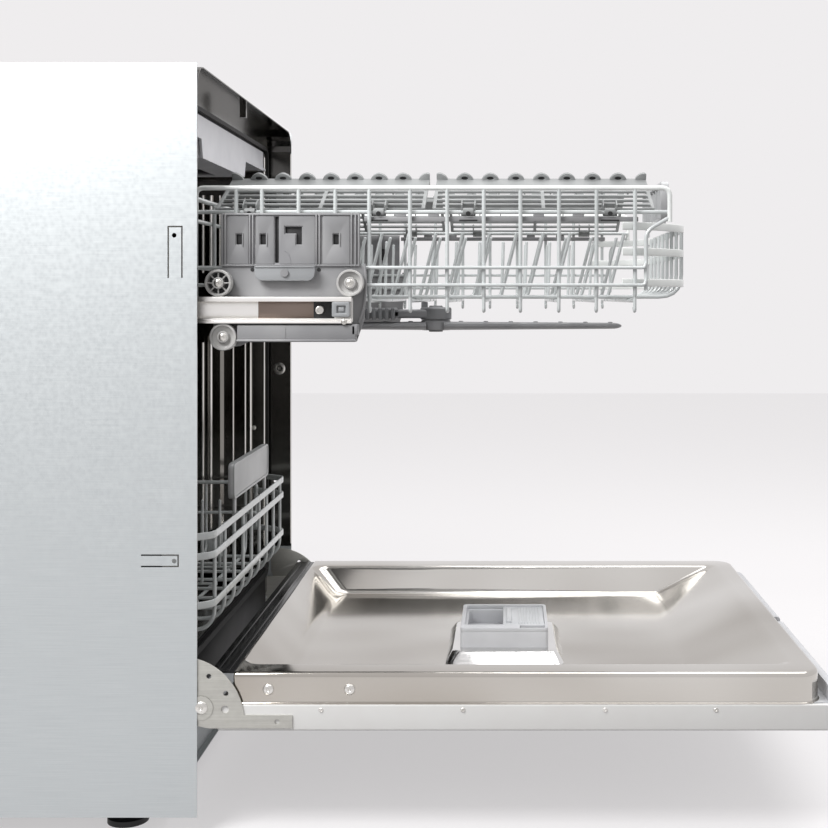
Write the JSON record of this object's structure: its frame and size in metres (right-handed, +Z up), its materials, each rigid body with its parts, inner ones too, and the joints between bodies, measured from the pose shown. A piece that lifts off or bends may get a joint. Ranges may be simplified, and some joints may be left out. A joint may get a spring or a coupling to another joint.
{
  "type": "under-counter dishwasher",
  "caption": "Under-counter dishwasher with a fold-down door, two pull-out wire racks, a cutlery tray, spray arms, a sump and folding cup shelves.",
  "frame": {"origin": "centre of the footprint of the whole object on the floor, door lowered", "axes": "+X to the right for someone who faces the door, +Y to the rear, +Z up"},
  "size_m": [0.598, 1.25, 0.815],
  "materials": {
    "stainless": "bright stainless sheet, lightly brushed",
    "zinc_sheet": "matt galvanised sheet",
    "skin": "light grey coated sheet",
    "rail_steel": "rolled bright steel",
    "rack_wire": "satin grey nylon coating on steel wire",
    "rack_plastic": "mid grey moulded plastic",
    "shelf_plastic": "light grey moulded plastic",
    "pale_plastic": "pale grey moulded plastic",
    "arm_plastic": "grey moulded plastic",
    "dark_plastic": "black moulded plastic",
    "pump_plastic": "grey moulded plastic",
    "tank_plastic": "off-white moulded plastic",
    "cap_blue": "dull blue moulded plastic",
    "seal_rubber": "matt black rubber",
    "spring_wire": "oiled spring wire"
  },
  "bodies": {
    "cabinet": {"base_pan": "dark_plastic", "adjusting_feet": "dark_plastic", "kick_plate": "zinc_sheet", "tub_shell": "stainless", "tub_front_frame": "stainless", "door_gasket": "seal_rubber", "side_panel_left": "zinc_sheet", "side_panel_right": "zinc_sheet", "rear_panel": "zinc_sheet", "top_braces": "zinc_sheet", "rack_tracks": "stainless", "rail_glides": "dark_plastic", "sump_housing": "pump_plastic", "filter_plate": "stainless", "circulation_pump": "pump_plastic", "drain_pump": "pump_plastic", "water_softener": "tank_plastic", "inlet_valve": "tank_plastic", "drain_spigot": "dark_plastic", "water_duct": "pale_plastic", "balance_springs": "spring_wire", "hinge_brackets": "zinc_sheet"},
    "door": {"door_liner": "stainless", "door_outer_panel": "skin", "control_console": "pale_plastic", "door_bottom_seal": "seal_rubber", "hinge_plates": "zinc_sheet", "dispenser_housing": "pale_plastic"},
    "upper_rails": {"upper_rails": "rail_steel", "rail_end_caps": "rack_plastic"},
    "upper_rack": {"upper_basket": "rack_wire", "upper_tines": "rack_wire", "upper_handle": "rack_plastic", "rack_carriages": "rack_plastic", "feed_duct": "rack_plastic"},
    "lower_rack": {"lower_basket": "rack_wire", "lower_tines": "rack_wire", "lower_handle": "rack_plastic"},
    "filter_cup": {"filter_cup": "pump_plastic"},
    "salt_cap": {"salt_cap": "cap_blue"},
    "lower_spray_arm": {"lower_spray_arm": "arm_plastic"},
    "top_spray_arm": {"top_spray_arm": "arm_plastic"},
    "detergent_lid": {"detergent_lid": "pale_plastic"},
    "rinse_cap": {"rinse_cap": "arm_plastic"},
    "door_latch": {"door_latch": "arm_plastic"},
    "button_power": {"button_power": "rack_plastic"},
    "button_program": {"button_program": "rack_plastic"},
    "button_start": {"button_start": "rack_plastic"},
    "middle_spray_arm": {"middle_spray_arm": "arm_plastic"},
    "adjuster_levers": {"adjuster_levers": "pale_plastic"},
    "cup_shelf_left_front": {"cup_shelf_left_front": "shelf_plastic"},
    "cup_shelf_left_rear": {"cup_shelf_left_rear": "shelf_plastic"},
    "cup_shelf_right_front": {"cup_shelf_right_front": "shelf_plastic"},
    "cup_shelf_right_rear": {"cup_shelf_right_rear": "shelf_plastic"},
    "carriage_wheels_rear": {"carriage_wheels_rear": "rack_plastic"},
    "carriage_wheels_front": {"carriage_wheels_front": "rack_plastic"},
    "carriage_wheels_under": {"carriage_wheels_under": "rack_plastic"},
    "lower_wheels_front": {"lower_wheels_front": "rack_plastic"},
    "lower_wheels_rear": {"lower_wheels_rear": "rack_plastic"},
    "cutlery_tray": {"cutlery_tray": "pale_plastic"}
  },
  "joints": [
    {"name": "door_hinge", "type": "hinge", "parent": "cabinet", "child": "door", "pos_m": [0, 0.051, 0.135], "axis": [-1, 0, 0], "range_deg": [0, 90]},
    {"name": "upper_rack_slide", "type": "slide", "parent": "cabinet", "child": "upper_rack", "axis": [0, 1, 0], "range_m": [0, 0.53]},
    {"name": "upper_rail_slide", "type": "slide", "parent": "cabinet", "child": "upper_rails", "axis": [0, 1, 0], "range_m": [0, 0.2]},
    {"name": "carriage_wheels_rear_spin", "type": "hinge", "parent": "upper_rack", "child": "carriage_wheels_rear", "pos_m": [0, 0.0385, 0.583], "axis": [-1, 0, 0], "continuous": true},
    {"name": "carriage_wheels_front_spin", "type": "hinge", "parent": "upper_rack", "child": "carriage_wheels_front", "pos_m": [0, -0.103, 0.583], "axis": [-1, 0, 0], "continuous": true},
    {"name": "carriage_wheels_under_spin", "type": "hinge", "parent": "upper_rack", "child": "carriage_wheels_under", "pos_m": [0, 0.0332, 0.525], "axis": [-1, 0, 0], "continuous": true},
    {"name": "adjuster_lever_turn", "type": "hinge", "parent": "upper_rack", "child": "adjuster_levers", "pos_m": [0, -0.032, 0.594], "axis": [1, 0, 0], "range_deg": [-8, 8], "stiffness_Nm_per_rad": 0.2},
    {"name": "middle_spray_arm_spin", "type": "hinge", "parent": "upper_rack", "child": "middle_spray_arm", "pos_m": [0, -0.18, 0.531], "axis": [0, 0, 1], "continuous": true},
    {"name": "lower_spray_arm_spin", "type": "hinge", "parent": "cabinet", "child": "lower_spray_arm", "pos_m": [0, 0.345, 0.1735], "axis": [0, 0, 1], "continuous": true},
    {"name": "top_spray_arm_spin", "type": "hinge", "parent": "cabinet", "child": "top_spray_arm", "pos_m": [0, 0.345, 0.785], "axis": [0, 0, 1], "continuous": true},
    {"name": "filter_cup_turn", "type": "hinge", "parent": "cabinet", "child": "filter_cup", "pos_m": [0.03, 0.315, 0.13], "axis": [0, 0, 1], "range_deg": [0, 90]},
    {"name": "salt_cap_turn", "type": "hinge", "parent": "cabinet", "child": "salt_cap", "pos_m": [-0.2, 0.225, 0.16], "axis": [0, 0, 1], "range_deg": [0, 150]},
    {"name": "lower_rack_slide", "type": "slide", "parent": "cabinet", "child": "lower_rack", "axis": [0, 1, 0], "range_m": [-0.5, 0]},
    {"name": "lower_wheels_front_spin", "type": "hinge", "parent": "lower_rack", "child": "lower_wheels_front", "pos_m": [0, 0.164, 0.1883], "axis": [-1, 0, 0], "continuous": true},
    {"name": "lower_wheels_rear_spin", "type": "hinge", "parent": "lower_rack", "child": "lower_wheels_rear", "pos_m": [0, 0.518, 0.1883], "axis": [-1, 0, 0], "continuous": true},
    {"name": "cutlery_tray_slide", "type": "slide", "parent": "cabinet", "child": "cutlery_tray", "axis": [0, 1, 0], "range_m": [-0.4, 0]},
    {"name": "detergent_lid_slide", "type": "slide", "parent": "door", "child": "detergent_lid", "axis": [0, 1, 0], "range_m": [0, 0.046]},
    {"name": "rinse_cap_hinge", "type": "hinge", "parent": "door", "child": "rinse_cap", "pos_m": [-0.0955, -0.315, 0.1661], "axis": [1, 0, 0], "range_deg": [0, 80]},
    {"name": "door_latch_hinge", "type": "hinge", "parent": "door", "child": "door_latch", "pos_m": [0.0075, -0.616, 0.149], "axis": [1, 0, 0], "range_deg": [-20, 20], "stiffness_Nm_per_rad": 0.05},
    {"name": "cup_shelf_left_front_hinge", "type": "hinge", "parent": "upper_rack", "child": "cup_shelf_left_front", "pos_m": [-0.2445, -0.3115, 0.661], "axis": [0, -1, 0], "range_deg": [-23.5, 0]},
    {"name": "cup_shelf_left_rear_hinge", "type": "hinge", "parent": "upper_rack", "child": "cup_shelf_left_rear", "pos_m": [-0.2445, -0.0655, 0.661], "axis": [0, -1, 0], "range_deg": [-23.5, 0]},
    {"name": "cup_shelf_right_front_hinge", "type": "hinge", "parent": "upper_rack", "child": "cup_shelf_right_front", "pos_m": [0.2445, -0.3115, 0.661], "axis": [0, 1, 0], "range_deg": [-23.5, 0]},
    {"name": "cup_shelf_right_rear_hinge", "type": "hinge", "parent": "upper_rack", "child": "cup_shelf_right_rear", "pos_m": [0.2445, -0.0655, 0.661], "axis": [0, 1, 0], "range_deg": [-23.5, 0]},
    {"name": "button_power_press", "type": "slide", "parent": "door", "child": "button_power", "axis": [0, 1, 0], "range_m": [0, 0.0013], "stiffness_N_per_m": 400},
    {"name": "button_program_press", "type": "slide", "parent": "door", "child": "button_program", "axis": [0, 1, 0], "range_m": [0, 0.0013], "stiffness_N_per_m": 400},
    {"name": "button_start_press", "type": "slide", "parent": "door", "child": "button_start", "axis": [0, 1, 0], "range_m": [0, 0.0013], "stiffness_N_per_m": 400}
  ],
  "couplings": [
    {"joint": "upper_rack_slide", "follows": "door_hinge", "m_per_rad": 0.3374},
    {"joint": "upper_rail_slide", "follows": "door_hinge", "m_per_rad": 0.12732},
    {"joint": "carriage_wheels_rear_spin", "follows": "door_hinge", "ratio": 14.489},
    {"joint": "carriage_wheels_front_spin", "follows": "door_hinge", "ratio": 14.489},
    {"joint": "carriage_wheels_under_spin", "follows": "door_hinge", "ratio": -14.489},
    {"joint": "lower_wheels_front_spin", "follows": "lower_rack_slide", "rad_per_m": 58.824},
    {"joint": "lower_wheels_rear_spin", "follows": "lower_rack_slide", "rad_per_m": 58.824}
  ]
}
